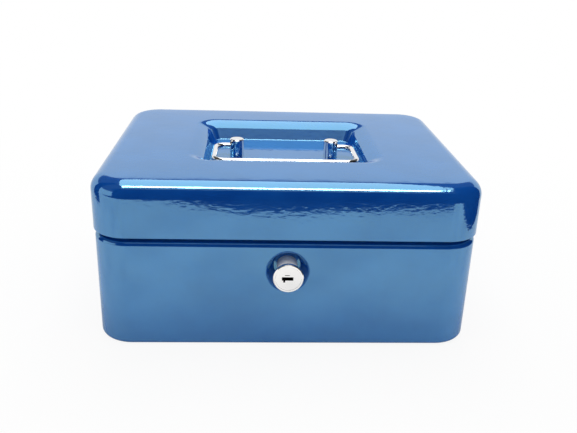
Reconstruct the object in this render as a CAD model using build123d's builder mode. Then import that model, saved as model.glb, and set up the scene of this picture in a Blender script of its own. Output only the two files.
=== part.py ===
from build123d import *
from math import cos, radians, sin, sqrt, tan
import os

# Petty cash box of pressed sheet steel: a base with a neck, a hinged lid with a sunk
# handle, a wafer lock with a cam in the front wall, and a moulded coin tray inside.
# Millimetres. -Y is the front, +X the right seen from the front, +Z is up.
# The origin is the middle of the flat underside.

os.makedirs("parts", exist_ok=True)

# Overall size
lid_width = 200.0
lid_depth = 160.0
box_height = 90.0
sheet = 0.8
lid_corner = 19.0
lid_bottom = 61.0
lid_top_radius = 8.0
lid_edge_radius = 0.35
hem_height = 4.0
hem_gap_spare = 1.0

# Base: its wall stands a little inside the lid's, and a neck rises from a rounded ledge
base_inset = 0.6
base_bottom_radius = 2.6
shoulder_radius = 2.5
ledge_height = 59.0
ledge_width = 3.5
rim_height = 66.0

# Sunk handle well in the lid: a soft lip bends down to a crease, and a steep wall to the floor
well_width = 99.4
well_length = 80.6
well_centre_y = 3.0
well_depth = 10.0
well_corner = 9.0
well_crease_corner = 6.0
well_floor_corner = 5.0
well_lip_radius = 12.5
well_lip_angle = radians(43)
well_lip_slope = 5.3
well_side_angle = radians(65)
well_wall_angle = radians(56.5)
well_foot_radius = 1.0

# Handle: wire bail between two posts, lying forward at rest
post_x = 28.0
post_radius = 4.2
post_top = 89.8
post_chamfer = 0.5
bail_wire_radius = 1.65
bail_hole_radius = 1.75
bail_pivot_height = 85.5
bail_end_x = 25.9
bail_half_width = 40.1
bail_reach = 33.0
bail_rise = 1.4
bail_eye_radius = 5.0
bail_corner_radius = 6.5
bail_bore_spare = 0.3
post_screw_radius = 1.5
post_screw_length = 4.4
post_screw_head_radius = 2.9
post_screw_head = 2.2
post_screw_head_rounding = 0.73
post_washer_radius = 4.5
post_washer = 0.8
screw_slot = 0.9
screw_slot_depth = 0.8
screw_hole_spare = 0.3

# Lock: a barrel on the axis x = 0, in a dish pressed into the front wall
lock_height = 43.2
dish_mouth_radius = 10.75
dish_floor_radius = 7.0
dish_depth = 8.5
dish_blend = 13.0
dish_lip_radius = 1.2
dish_hole_radius = 5.1
lock_proud = 7.8
head_radius = 7.7
head_thickness = 2.3
head_chamfer = 0.35
neck_radius = 5.4
thread_radius = 5.0
barrel_length_behind_dish = 10.7
plug_face_radius = 6.45
plug_face_thickness = 1.5
plug_face_recess = 0.1
plug_face_gap = 0.2
plug_radius = 4.0
running_clearance = 0.05
keyway_left = -3.3
keyway_right = 2.5
keyway_height = 1.9
keyway_length = 20.7
ward_width = 1.0
ward_height = 1.1
ward_left = -2.6
mark_x = -0.6
mark_width = 2.4
mark_height = 0.35
mark_depth = 0.3
wafer_count = 5
wafer_pitch = 3.0
wafer_first = 4.6
wafer_thickness = 0.6
wafer_width = 6.6
wafer_height = 3.8
wafer_window_width = 5.0
wafer_window_height = 2.2
wafer_slot = 0.7
wafer_slot_width = 9.0
wafer_slot_height = 4.0
lock_washer_radius = 7.4
lock_washer_thickness = 0.8
nut_flats = 14.0
nut_thickness = 3.5
cam_thickness = 1.5
cam_gap = 0.3
cam_hub_radius = 5.5
cam_reach = 14.0
cam_half_width = 3.6
cam_square = 5.0
cam_tail_setback = 0.2
cam_screw_radius = 1.4
cam_screw_length = 5.5
cam_screw_head_radius = 3.8
cam_screw_head = 1.6
cam_screw_head_rounding = 0.53

# Catch: a bracket inside the lid's front that steps over the neck and ends in a hook
catch_sheet = 1.5
catch_left = 12.0
catch_right = 25.0
catch_step_height = 68.0
catch_tab_top = 81.5
hook_stem_left = 15.5
hook_stem_right = 22.0
hook_jaw_left = 7.0
hook_jaw_top = -4.5
hook_jaw_height = 4.0

# Hinges: two butt hinges with five knuckles, riveted to the back walls
hinge_x = 55.0
hinge_axis_y = 83.0
hinge_axis_z = 60.0
knuckle_count = 5
knuckle_pitch = 8.0
knuckle_length = 7.8
knuckle_radius = 2.5
hinge_pin_radius = 1.25
hinge_pin_head_radius = 2.0
hinge_pin_head = 0.8
hinge_pin_rounding = 0.4
leaf_thickness = 1.0
lid_leaf_top = 78.0
base_leaf_bottom = 37.0
base_leaf_slot_z = 54.5
slot_clearance = 0.2
rivet_radius = 1.6
rivet_head_radius = 2.7
rivet_head = 0.9
rivet_dome = 0.63
rivet_tail_radius = 2.2
rivet_tail = 0.7
rivet_x = 12.0
lid_rivet_z = 71.0
base_rivet_z = 45.0

# Coin tray: moulded, hanging by its flange from the neck's top edge
tray_flange_overhang = 1.1
tray_flange = 1.6
tray_gap = 1.1
tray_bottom = 38.0
tray_floor = 1.5
tray_wall = 1.6
tray_body_corner = 13.0
tray_body_rounding = 2.0
tray_flange_chamfer = 0.4
tray_pocket_corner = 3.0
tray_pocket_chamfer = 2.0
tray_notch_left = -14.0
tray_notch_right = 27.5
tray_notch_back = -50.0
tray_column = 30.0

# Worked out from the sizes above
base_width = lid_width - 2 * base_inset
base_depth = lid_depth - 2 * base_inset
base_corner = lid_corner - base_inset
rim_width = base_width - 2 * ledge_width
rim_depth = base_depth - 2 * ledge_width
rim_corner = base_corner - ledge_width
wall_front = -base_depth / 2
dish_front = wall_front + dish_depth
dish_back = dish_front + sheet
lock_face = wall_front - lock_proud
barrel_back = dish_back + barrel_length_behind_dish
cam_front = barrel_back + cam_gap
cam_back = cam_front + cam_thickness
well_floor = box_height - well_depth
half_hinge = knuckle_count * knuckle_pitch / 2
lock_section = Plane.XY.offset(lock_height)
lock_axis = Axis((0, 0, lock_height), (0, 1, 0))


# Base shell

with BuildPart() as base_cavity:
    with BuildSketch(Plane.XY.offset(sheet)):
        RectangleRounded(base_width - 2 * sheet, base_depth - 2 * sheet, base_corner - sheet)
    extrude(amount=ledge_height - 2 * sheet)
    fillet(base_cavity.edges().group_by(Axis.Z)[0], base_bottom_radius - sheet)
    fillet(base_cavity.edges().group_by(Axis.Z)[-1], shoulder_radius - sheet)
    with BuildSketch(Plane.XY.offset(ledge_height - 2 * sheet)):
        RectangleRounded(rim_width - 2 * sheet, rim_depth - 2 * sheet, rim_corner - sheet)
    extrude(amount=rim_height - ledge_height + 3 * sheet)

# The dish is a cone of the same sheet, so its back stands off by the sheet square to the wall
dish_slope = (dish_mouth_radius - dish_floor_radius) / dish_depth
dish_back_step = sheet * sqrt(1 + dish_slope**2)
dish_back_mouth = dish_mouth_radius + dish_back_step - sheet * dish_slope
dish_back_floor = dish_floor_radius + dish_back_step - sheet * dish_slope

with BuildPart() as base_shell:
    with BuildSketch():
        RectangleRounded(base_width, base_depth, base_corner)
    extrude(amount=ledge_height)
    fillet(base_shell.edges().group_by(Axis.Z)[0], base_bottom_radius)
    fillet(base_shell.edges().group_by(Axis.Z)[-1], shoulder_radius)
    with BuildSketch(Plane.XY.offset(ledge_height - sheet)):
        RectangleRounded(rim_width, rim_depth, rim_corner)
    extrude(amount=rim_height - ledge_height + sheet)
    add(base_cavity.part, mode=Mode.SUBTRACT)
    # Dish for the lock in the front wall
    with BuildSketch(Plane.XZ.offset(-wall_front)):
        with Locations((0, lock_height)):
            Circle(dish_blend)
    extrude(amount=-2 * sheet, mode=Mode.SUBTRACT)
    with BuildSketch(lock_section) as dish_profile:
        with BuildLine():
            Polyline(
                (dish_blend, wall_front),
                (dish_mouth_radius, wall_front),
                (dish_floor_radius, dish_front),
                (dish_hole_radius, dish_front),
                (dish_hole_radius, dish_back),
                (dish_back_floor, dish_back),
                (dish_back_mouth, wall_front + sheet),
                (dish_blend, wall_front + sheet),
                close=True,
            )
        make_face()
        dish_mouth = (dish_mouth_radius, wall_front, lock_height)
        fillet(dish_profile.vertices().sort_by_distance(dish_mouth)[0], dish_lip_radius)
    revolve(axis=lock_axis)
    # Slots in the back wall that the hinge leaves pass through
    with Locations(*[(x, base_depth / 2, base_leaf_slot_z) for x in (-hinge_x, hinge_x)]):
        Box(
            2 * half_hinge + 2 * slot_clearance,
            4 * sheet,
            leaf_thickness + 2 * slot_clearance,
            mode=Mode.SUBTRACT,
        )
    # Rivet holes for the hinges
    with BuildSketch(Plane.XZ.offset(wall_front)):
        with Locations(*[(s * hinge_x + t * rivet_x, base_rivet_z) for s in (-1, 1) for t in (-1, 1)]):
            Circle(rivet_radius)
    extrude(amount=2 * sheet, both=True, mode=Mode.SUBTRACT)
base_shell.part.label = "base_shell"
export_step(base_shell.part, "parts/base_shell.step")

# Lid shell with its handle well

# How far the well's wall runs in below the crease, and what the sheet adds to its underside,
# first for the side walls and then for the front and back walls
lip_run = well_lip_slope * cos(well_lip_angle)
lip_drop = well_lip_slope * sin(well_lip_angle)
lip_out = sheet / sin(well_lip_angle)
runs = []
foot_steps = []
crease_steps = []
for angle in (well_side_angle, well_wall_angle):
    runs.append((well_depth - lip_drop) / tan(angle))
    foot_steps.append(sheet * tan(angle / 2))
    crease_steps.append(sheet * sin((angle + well_lip_angle) / 2) / cos((angle - well_lip_angle) / 2))
crease_down = sheet * cos((well_wall_angle + well_lip_angle) / 2) / cos((well_wall_angle - well_lip_angle) / 2)

# Each level of the well: its height, its width and length, and its corner radius
upper_levels = (
    (
        well_floor,
        well_width - 2 * (lip_run + runs[0]),
        well_length - 2 * (lip_run + runs[1]),
        well_floor_corner,
    ),
    (box_height - lip_drop, well_width - 2 * lip_run, well_length - 2 * lip_run, well_crease_corner),
    (box_height, well_width, well_length, well_corner),
)
# The same levels on the sheet's underside
lower_levels = (
    (
        well_floor - sheet,
        upper_levels[0][1] + 2 * foot_steps[0],
        upper_levels[0][2] + 2 * foot_steps[1],
        well_floor_corner + foot_steps[1],
    ),
    (
        box_height - lip_drop - crease_down,
        upper_levels[1][1] + 2 * crease_steps[0],
        upper_levels[1][2] + 2 * crease_steps[1],
        well_crease_corner + crease_steps[1],
    ),
    (box_height, well_width + 2 * lip_out, well_length + 2 * lip_out, well_corner + lip_out),
)

with BuildPart() as well_air:
    for level, width, depth, corner in upper_levels:
        with BuildSketch(Plane.XY.offset(level)):
            with Locations((0, well_centre_y)):
                RectangleRounded(width, depth, corner)
    loft(ruled=True)
    fillet(well_air.edges().group_by(Axis.Z)[0], well_foot_radius)

with BuildPart() as well_pan:
    for level, width, depth, corner in lower_levels:
        with BuildSketch(Plane.XY.offset(level)):
            with Locations((0, well_centre_y)):
                RectangleRounded(width, depth, corner)
    loft(ruled=True)
    fillet(well_pan.edges().group_by(Axis.Z)[0], well_foot_radius + sheet)

with BuildPart() as lid_cavity:
    with BuildSketch(Plane.XY.offset(lid_bottom - sheet)):
        RectangleRounded(lid_width - 2 * sheet, lid_depth - 2 * sheet, lid_corner - sheet)
    extrude(amount=box_height - lid_bottom)
    fillet(lid_cavity.edges().group_by(Axis.Z)[-1], lid_top_radius - sheet)
    add(well_pan.part, mode=Mode.SUBTRACT)
    cavity_top = lid_cavity.faces().sort_by(Axis.Z)[-1]
    fillet(cavity_top.inner_wires()[0].edges(), well_lip_radius - sheet)

with BuildPart() as lid_shell:
    with BuildSketch(Plane.XY.offset(lid_bottom)):
        RectangleRounded(lid_width, lid_depth, lid_corner)
    extrude(amount=box_height - lid_bottom)
    fillet(lid_shell.edges().group_by(Axis.Z)[-1], lid_top_radius)
    fillet(lid_shell.edges().group_by(Axis.Z)[0], lid_edge_radius)
    add(well_air.part, mode=Mode.SUBTRACT)
    lid_top = lid_shell.faces().filter_by(Axis.Z).sort_by(Axis.Z)[-1]
    fillet(lid_top.inner_wires()[0].edges(), well_lip_radius)
    add(lid_cavity.part, mode=Mode.SUBTRACT)
    # Hem folded in along the lower edge, left out where the hinge leaves lie
    with BuildSketch(Plane.XY.offset(lid_bottom + lid_edge_radius)):
        RectangleRounded(lid_width - 2 * sheet, lid_depth - 2 * sheet, lid_corner - sheet)
        RectangleRounded(
            lid_width - 4 * sheet, lid_depth - 4 * sheet, lid_corner - 2 * sheet, mode=Mode.SUBTRACT
        )
        with Locations(*[(x, lid_depth / 2) for x in (-hinge_x, hinge_x)]):
            Rectangle(2 * half_hinge + 2 * hem_gap_spare, 6 * sheet, mode=Mode.SUBTRACT)
    extrude(amount=hem_height)
    # Screw holes in the well's floor and rivet holes in the back
    with BuildSketch(Plane.XY.offset(well_floor)):
        with Locations((-post_x, well_centre_y), (post_x, well_centre_y)):
            Circle(post_screw_radius + running_clearance)
    extrude(amount=-2 * sheet, mode=Mode.SUBTRACT)
    with BuildSketch(Plane.XZ.offset(-lid_depth / 2)):
        with Locations(*[(s * hinge_x + t * rivet_x, lid_rivet_z) for s in (-1, 1) for t in (-1, 1)]):
            Circle(rivet_radius)
    extrude(amount=2 * sheet, both=True, mode=Mode.SUBTRACT)
lid_shell.part.label = "lid_shell"
export_step(lid_shell.part, "parts/lid_shell.step")

# Handle posts, each drilled from its outer side for the bail's end

for side, sign in (("left", -1), ("right", 1)):
    with BuildPart() as handle_post:
        with BuildSketch(Plane.XY.offset(well_floor)):
            with Locations((sign * post_x, well_centre_y)):
                Circle(post_radius)
        extrude(amount=post_top - well_floor)
        chamfer(handle_post.edges().group_by(Axis.Z)[-1], post_chamfer)
        with BuildSketch(Plane.XY.offset(well_floor)):
            with Locations((sign * post_x, well_centre_y)):
                Circle(post_screw_radius + running_clearance)
        extrude(amount=post_screw_length - sheet - post_washer + screw_hole_spare, mode=Mode.SUBTRACT)
        bail_bore = Plane(
            origin=(sign * (bail_end_x - bail_bore_spare), well_centre_y, bail_pivot_height),
            z_dir=(sign, 0, 0),
        )
        with BuildSketch(bail_bore):
            Circle(bail_hole_radius)
        extrude(amount=2 * post_radius, mode=Mode.SUBTRACT)
    handle_post.part.label = f"handle_post_{side}"
    export_step(handle_post.part, f"parts/handle_post_{side}.step")

# Washers and screws that hold the posts from under the well

with BuildPart() as post_washers:
    with BuildSketch(Plane.XY.offset(well_floor - sheet)):
        with Locations((-post_x, well_centre_y), (post_x, well_centre_y)):
            Circle(post_washer_radius)
            Circle(post_screw_radius + running_clearance, mode=Mode.SUBTRACT)
    extrude(amount=-post_washer)
post_washers.part.label = "post_washers"
export_step(post_washers.part, "parts/post_washers.step")

screw_seat = well_floor - sheet - post_washer
with BuildPart() as post_screws:
    with BuildSketch(Plane.XY.offset(screw_seat)):
        with Locations((-post_x, well_centre_y), (post_x, well_centre_y)):
            Circle(post_screw_radius)
    extrude(amount=post_screw_length)
    with BuildSketch(Plane.XY.offset(screw_seat)):
        with Locations((-post_x, well_centre_y), (post_x, well_centre_y)):
            Circle(post_screw_head_radius)
    extrude(amount=-post_screw_head)
    fillet(post_screws.edges().group_by(Axis.Z)[0], post_screw_head_rounding)
    with BuildSketch(Plane.XY.offset(screw_seat - post_screw_head)):
        with Locations((-post_x, well_centre_y), (post_x, well_centre_y)):
            Rectangle(2 * post_screw_head_radius, screw_slot)
    extrude(amount=screw_slot_depth, mode=Mode.SUBTRACT)
post_screws.part.label = "post_screws"
export_step(post_screws.part, "parts/post_screws.step")

# Bail of bent wire: its path lies in a plane through the pivot line, rising a little forward

bail_plane = Plane(
    origin=(0, well_centre_y, bail_pivot_height), x_dir=(1, 0, 0), z_dir=(0, 0, -1)
).rotated((-bail_rise, 0, 0))
with BuildPart() as handle_bail:
    with BuildLine(bail_plane) as bail_path:
        FilletPolyline(
            (bail_end_x, 0),
            (bail_half_width, 0),
            (bail_half_width, bail_reach),
            (-bail_half_width, bail_reach),
            (-bail_half_width, 0),
            (-bail_end_x, 0),
            radius=[bail_eye_radius, bail_corner_radius, bail_corner_radius, bail_eye_radius],
        )
    with BuildSketch(Plane(origin=bail_path.line @ 0, z_dir=bail_path.line % 0)):
        Circle(bail_wire_radius)
    sweep(path=bail_path.line)
handle_bail.part.label = "handle_bail"
export_step(handle_bail.part, "parts/handle_bail.step")

# Lock barrel: a thin head with a bezel, a long neck, and a thread behind the dish

face_seat = lock_face + plug_face_thickness + plug_face_gap
with BuildPart() as lock_barrel:
    with BuildSketch(lock_section) as barrel_profile:
        with BuildLine():
            Polyline(
                (plug_face_radius + running_clearance, lock_face),
                (head_radius, lock_face),
                (head_radius, lock_face + head_thickness),
                (neck_radius, lock_face + head_thickness),
                (neck_radius, dish_front),
                (thread_radius, dish_front),
                (thread_radius, barrel_back),
                (plug_radius + running_clearance, barrel_back),
                (plug_radius + running_clearance, face_seat),
                (plug_face_radius + running_clearance, face_seat),
                close=True,
            )
        make_face()
        for corner_y in (lock_face, lock_face + head_thickness):
            corner = (head_radius, corner_y, lock_height)
            chamfer(barrel_profile.vertices().sort_by_distance(corner)[0], head_chamfer)
    revolve(axis=lock_axis)
lock_barrel.part.label = "lock_barrel"
export_step(lock_barrel.part, "parts/lock_barrel.step")

with BuildPart() as lock_washer:
    with BuildSketch(Plane.XZ.offset(-dish_back)):
        with Locations((0, lock_height)):
            Circle(lock_washer_radius)
            Circle(dish_hole_radius, mode=Mode.SUBTRACT)
    extrude(amount=-lock_washer_thickness)
lock_washer.part.label = "lock_washer"
export_step(lock_washer.part, "parts/lock_washer.step")

with BuildPart() as lock_nut:
    with BuildSketch(Plane.XZ.offset(-dish_back - lock_washer_thickness)):
        with Locations((0, lock_height)):
            RegularPolygon(nut_flats / 2, 6, major_radius=False)
            Circle(thread_radius + running_clearance, mode=Mode.SUBTRACT)
    extrude(amount=-nut_thickness)
lock_nut.part.label = "lock_nut"
export_step(lock_nut.part, "parts/lock_nut.step")

# Plug: a round face with the keyhole, a body slotted for the wafers, a square tail for the cam

with BuildPart() as lock_plug:
    with BuildSketch(Plane.XZ.offset(-lock_face - plug_face_recess)):
        with Locations((0, lock_height)):
            Circle(plug_face_radius)
    extrude(amount=-plug_face_thickness)
    with BuildSketch(Plane.XZ.offset(-lock_face - plug_face_thickness)):
        with Locations((0, lock_height)):
            Circle(plug_radius)
    extrude(amount=-(barrel_back - lock_face - plug_face_thickness))
    with BuildSketch(Plane.XZ.offset(-barrel_back)):
        with Locations((0, lock_height)):
            Rectangle(cam_square, cam_square)
    extrude(amount=-(cam_gap + cam_thickness - cam_tail_setback))
    # Keyway with a small ward step under its left end, and a shallow mark over it
    with BuildSketch(Plane.XZ.offset(-lock_face)):
        with Locations(((keyway_left + keyway_right) / 2, lock_height)):
            Rectangle(keyway_right - keyway_left, keyway_height)
    extrude(amount=-keyway_length, mode=Mode.SUBTRACT)
    with BuildSketch(Plane.XZ.offset(-lock_face)):
        with Locations((ward_left + ward_width / 2, lock_height - keyway_height / 2 - ward_height / 2)):
            Rectangle(ward_width, ward_height)
    extrude(amount=-plug_face_thickness, mode=Mode.SUBTRACT)
    with BuildSketch(Plane.XZ.offset(-lock_face)):
        with Locations((mark_x, lock_height + keyway_height)):
            Rectangle(mark_width, mark_height)
    extrude(amount=-mark_depth, mode=Mode.SUBTRACT)
    # Slots for the wafers and the hole for the cam screw
    for index in range(wafer_count):
        slot_y = lock_face + wafer_first + index * wafer_pitch
        with Locations((0, slot_y, lock_height)):
            Box(wafer_slot_width, wafer_slot, wafer_slot_height, mode=Mode.SUBTRACT)
    with BuildSketch(Plane.XZ.offset(-cam_back)):
        with Locations((0, lock_height)):
            Circle(cam_screw_radius + running_clearance)
    extrude(amount=cam_screw_length + screw_hole_spare, mode=Mode.SUBTRACT)
lock_plug.part.label = "lock_plug"
export_step(lock_plug.part, "parts/lock_plug.step")

with BuildPart() as lock_wafers:
    for index in range(wafer_count):
        wafer_y = lock_face + wafer_first + index * wafer_pitch + wafer_thickness / 2
        with BuildSketch(Plane.XZ.offset(-wafer_y)):
            with Locations((0, lock_height)):
                Rectangle(wafer_width, wafer_height)
                Rectangle(wafer_window_width, wafer_window_height, mode=Mode.SUBTRACT)
        extrude(amount=wafer_thickness)
lock_wafers.part.label = "lock_wafers"
export_step(lock_wafers.part, "parts/lock_wafers.step")

with BuildPart() as lock_cam:
    with BuildSketch(Plane.XZ.offset(-cam_front)):
        with Locations((0, lock_height)):
            Circle(cam_hub_radius)
        with Locations((0, lock_height + (cam_reach - cam_half_width) / 2)):
            SlotCenterToCenter(cam_reach - cam_half_width, 2 * cam_half_width, rotation=90)
        with Locations((0, lock_height)):
            Rectangle(
                cam_square + 2 * running_clearance, cam_square + 2 * running_clearance, mode=Mode.SUBTRACT
            )
    extrude(amount=-cam_thickness)
lock_cam.part.label = "lock_cam"
export_step(lock_cam.part, "parts/lock_cam.step")

with BuildPart() as cam_screw:
    with BuildSketch(Plane.XZ.offset(-cam_back)):
        with Locations((0, lock_height)):
            Circle(cam_screw_head_radius)
    extrude(amount=-cam_screw_head)
    fillet(cam_screw.edges().group_by(Axis.Y)[-1], cam_screw_head_rounding)
    with BuildSketch(Plane.XZ.offset(-cam_back)):
        with Locations((0, lock_height)):
            Circle(cam_screw_radius)
    extrude(amount=cam_screw_length)
    with BuildSketch(Plane.XZ.offset(-cam_back - cam_screw_head)):
        with Locations((0, lock_height)):
            Rectangle(2 * cam_screw_head_radius, screw_slot)
    extrude(amount=screw_slot_depth, mode=Mode.SUBTRACT)
cam_screw.part.label = "cam_screw"
export_step(cam_screw.part, "parts/cam_screw.step")

# Catch bracket: a tab on the lid's front wall, a step over the neck, and the hook

skirt_inside = -lid_depth / 2 + sheet
with BuildPart() as lid_catch:
    with BuildSketch(Plane.YZ.offset(catch_left)):
        with BuildLine():
            Polyline(
                (skirt_inside, catch_step_height),
                (cam_back, catch_step_height),
                (cam_back, catch_step_height + catch_sheet),
                (skirt_inside + catch_sheet, catch_step_height + catch_sheet),
                (skirt_inside + catch_sheet, catch_tab_top),
                (skirt_inside, catch_tab_top),
                close=True,
            )
        make_face()
    extrude(amount=catch_right - catch_left)
    with BuildSketch(Plane.XZ.offset(-cam_back)):
        with BuildLine():
            jaw_top = lock_height + hook_jaw_top
            Polyline(
                (hook_stem_left, catch_step_height + catch_sheet),
                (hook_stem_left, jaw_top),
                (hook_jaw_left, jaw_top),
                (hook_jaw_left, jaw_top - hook_jaw_height),
                (hook_stem_right, jaw_top - hook_jaw_height),
                (hook_stem_right, catch_step_height + catch_sheet),
                close=True,
            )
        make_face()
    extrude(amount=catch_sheet)
lid_catch.part.label = "lid_catch"
export_step(lid_catch.part, "parts/lid_catch.step")

# Hinges: the lid's leaf turns up inside the lid's back, the base's leaf passes through the
# slot in the base's back and down inside it

base_inside = base_depth / 2 - sheet
lid_inside = lid_depth / 2 - sheet
for side, sign in (("left", -1), ("right", 1)):
    first_knuckle = sign * hinge_x - half_hinge + knuckle_pitch / 2
    base_knuckles = [first_knuckle + n * knuckle_pitch for n in range(0, knuckle_count, 2)]
    lid_knuckles = [first_knuckle + n * knuckle_pitch for n in range(1, knuckle_count, 2)]

    with BuildPart() as base_leaf:
        for x in base_knuckles:
            with BuildSketch(Plane.YZ.offset(x - knuckle_length / 2)):
                with Locations((hinge_axis_y, hinge_axis_z)):
                    Circle(knuckle_radius)
                drop = hinge_axis_z - base_leaf_slot_z + leaf_thickness / 2
                drop_y = hinge_axis_y - knuckle_radius + leaf_thickness / 2
                with Locations((drop_y, hinge_axis_z - drop / 2)):
                    Rectangle(leaf_thickness, drop)
                run = hinge_axis_y - knuckle_radius + leaf_thickness - base_inside + leaf_thickness
                with Locations((base_inside - leaf_thickness + run / 2, base_leaf_slot_z)):
                    Rectangle(run, leaf_thickness)
                with Locations((hinge_axis_y, hinge_axis_z)):
                    Circle(hinge_pin_radius + running_clearance, mode=Mode.SUBTRACT)
            extrude(amount=knuckle_length)
        with BuildSketch(Plane.XZ.offset(-base_inside)):
            plate_height = base_leaf_slot_z + leaf_thickness / 2 - base_leaf_bottom
            with Locations((sign * hinge_x, base_leaf_bottom + plate_height / 2)):
                Rectangle(2 * half_hinge, plate_height)
            with Locations(*[(sign * hinge_x + t * rivet_x, base_rivet_z) for t in (-1, 1)]):
                Circle(rivet_radius, mode=Mode.SUBTRACT)
        extrude(amount=leaf_thickness)
    base_leaf.part.label = f"hinge_{side}_base_leaf"
    export_step(base_leaf.part, f"parts/hinge_{side}_base_leaf.step")

    with BuildPart() as lid_leaf:
        for x in lid_knuckles:
            with BuildSketch(Plane.YZ.offset(x - knuckle_length / 2)):
                with Locations((hinge_axis_y, hinge_axis_z)):
                    Circle(knuckle_radius)
                run = hinge_axis_y - lid_inside + leaf_thickness
                with Locations((hinge_axis_y - run / 2, hinge_axis_z)):
                    Rectangle(run, leaf_thickness)
                with Locations((hinge_axis_y, hinge_axis_z)):
                    Circle(hinge_pin_radius + running_clearance, mode=Mode.SUBTRACT)
            extrude(amount=knuckle_length)
        with BuildSketch(Plane.XZ.offset(-lid_inside)):
            plate_bottom = hinge_axis_z - leaf_thickness / 2
            with Locations((sign * hinge_x, (plate_bottom + lid_leaf_top) / 2)):
                Rectangle(2 * half_hinge, lid_leaf_top - plate_bottom)
            with Locations(*[(sign * hinge_x + t * rivet_x, lid_rivet_z) for t in (-1, 1)]):
                Circle(rivet_radius, mode=Mode.SUBTRACT)
        extrude(amount=leaf_thickness)
    lid_leaf.part.label = f"hinge_{side}_lid_leaf"
    export_step(lid_leaf.part, f"parts/hinge_{side}_lid_leaf.step")

    with BuildPart() as hinge_pin:
        with BuildSketch(Plane.YZ.offset(sign * hinge_x - half_hinge)):
            with Locations((hinge_axis_y, hinge_axis_z)):
                Circle(hinge_pin_radius)
        extrude(amount=2 * half_hinge)
        for start in (sign * hinge_x - half_hinge - hinge_pin_head, sign * hinge_x + half_hinge):
            with BuildSketch(Plane.YZ.offset(start)):
                with Locations((hinge_axis_y, hinge_axis_z)):
                    Circle(hinge_pin_head_radius)
            extrude(amount=hinge_pin_head)
        fillet(hinge_pin.edges().group_by(Axis.X)[0], hinge_pin_rounding)
        fillet(hinge_pin.edges().group_by(Axis.X)[-1], hinge_pin_rounding)
    hinge_pin.part.label = f"hinge_{side}_pin"
    export_step(hinge_pin.part, f"parts/hinge_{side}_pin.step")

# Hinge rivets: a domed head outside, a shank through wall and leaf, a flat tail inside

rivet_sets = (
    ("hinge_base_rivets", base_depth / 2, base_rivet_z),
    ("hinge_lid_rivets", lid_depth / 2, lid_rivet_z),
)
for name, wall_face, rivet_z in rivet_sets:
    rivet_points = [(s * hinge_x + t * rivet_x, rivet_z) for s in (-1, 1) for t in (-1, 1)]
    with BuildPart() as rivets:
        with BuildSketch(Plane.XZ.offset(-wall_face)):
            with Locations(*rivet_points):
                Circle(rivet_head_radius)
        extrude(amount=-rivet_head)
        fillet(rivets.edges().group_by(Axis.Y)[-1], rivet_dome)
        with BuildSketch(Plane.XZ.offset(-wall_face)):
            with Locations(*rivet_points):
                Circle(rivet_radius)
        extrude(amount=sheet + leaf_thickness)
        with BuildSketch(Plane.XZ.offset(-wall_face + sheet + leaf_thickness)):
            with Locations(*rivet_points):
                Circle(rivet_tail_radius)
        extrude(amount=rivet_tail)
    rivets.part.label = name
    export_step(rivets.part, f"parts/{name}.step")

# Coin tray: six pockets with sloped edges to their floors, and a notch that clears the lock and the hook

tray_width = rim_width - 2 * sheet - 2 * tray_gap
tray_depth = rim_depth - 2 * sheet - 2 * tray_gap
pocket_x = tray_width / 2 - tray_wall
pocket_y = tray_depth / 2 - tray_wall
half_wall = tray_wall / 2
pockets = [
    (-pocket_x, -tray_column - half_wall, half_wall, pocket_y),
    (-tray_column + half_wall, tray_column - half_wall, half_wall, pocket_y),
    (tray_column + half_wall, pocket_x, half_wall, pocket_y),
    (-pocket_x, tray_notch_left - tray_wall, -pocket_y, -half_wall),
    (tray_notch_left, tray_notch_right, tray_notch_back + tray_wall, -half_wall),
    (tray_notch_right + tray_wall, pocket_x, -pocket_y, -half_wall),
]
with BuildPart() as pocket_air:
    for left, right, front, back in pockets:
        with BuildSketch(Plane.XY.offset(tray_bottom + tray_floor)):
            with Locations(((left + right) / 2, (front + back) / 2)):
                RectangleRounded(right - left, back - front, tray_pocket_corner)
        extrude(amount=rim_height + tray_flange - tray_bottom)
    # The outer pockets keep the body's wall thickness round its rounded corners
    with BuildSketch(Plane.XY.offset(tray_bottom + tray_floor)):
        RectangleRounded(2 * pocket_x, 2 * pocket_y, tray_body_corner - tray_wall)
    extrude(amount=rim_height + tray_flange - tray_bottom, mode=Mode.INTERSECT)
    chamfer(pocket_air.edges().group_by(Axis.Z)[0], tray_pocket_chamfer)

with BuildPart() as coin_tray:
    with BuildSketch(Plane.XY.offset(tray_bottom)):
        RectangleRounded(tray_width, tray_depth, tray_body_corner)
    extrude(amount=rim_height - tray_bottom)
    fillet(coin_tray.edges().group_by(Axis.Z)[0], tray_body_rounding)
    with BuildSketch(Plane.XY.offset(rim_height)):
        RectangleRounded(
            rim_width + 2 * tray_flange_overhang,
            rim_depth + 2 * tray_flange_overhang,
            rim_corner + tray_flange_overhang,
        )
    extrude(amount=tray_flange)
    chamfer(coin_tray.edges().group_by(Axis.Z)[-1], tray_flange_chamfer)
    with BuildSketch(Plane.XY.offset(tray_bottom)):
        notch_front = -rim_depth / 2 - 2 * tray_flange_overhang
        with Locations(((tray_notch_left + tray_notch_right) / 2, (notch_front + tray_notch_back) / 2)):
            Rectangle(tray_notch_right - tray_notch_left, tray_notch_back - notch_front)
    extrude(amount=rim_height + tray_flange - tray_bottom, mode=Mode.SUBTRACT)
    add(pocket_air.part, mode=Mode.SUBTRACT)
coin_tray.part.label = "coin_tray"
export_step(coin_tray.part, "parts/coin_tray.step")
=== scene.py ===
import math

import bmesh
import bpy
from bpy.props import FloatProperty, FloatVectorProperty, PointerProperty
from mathutils import Matrix, Vector


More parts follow.
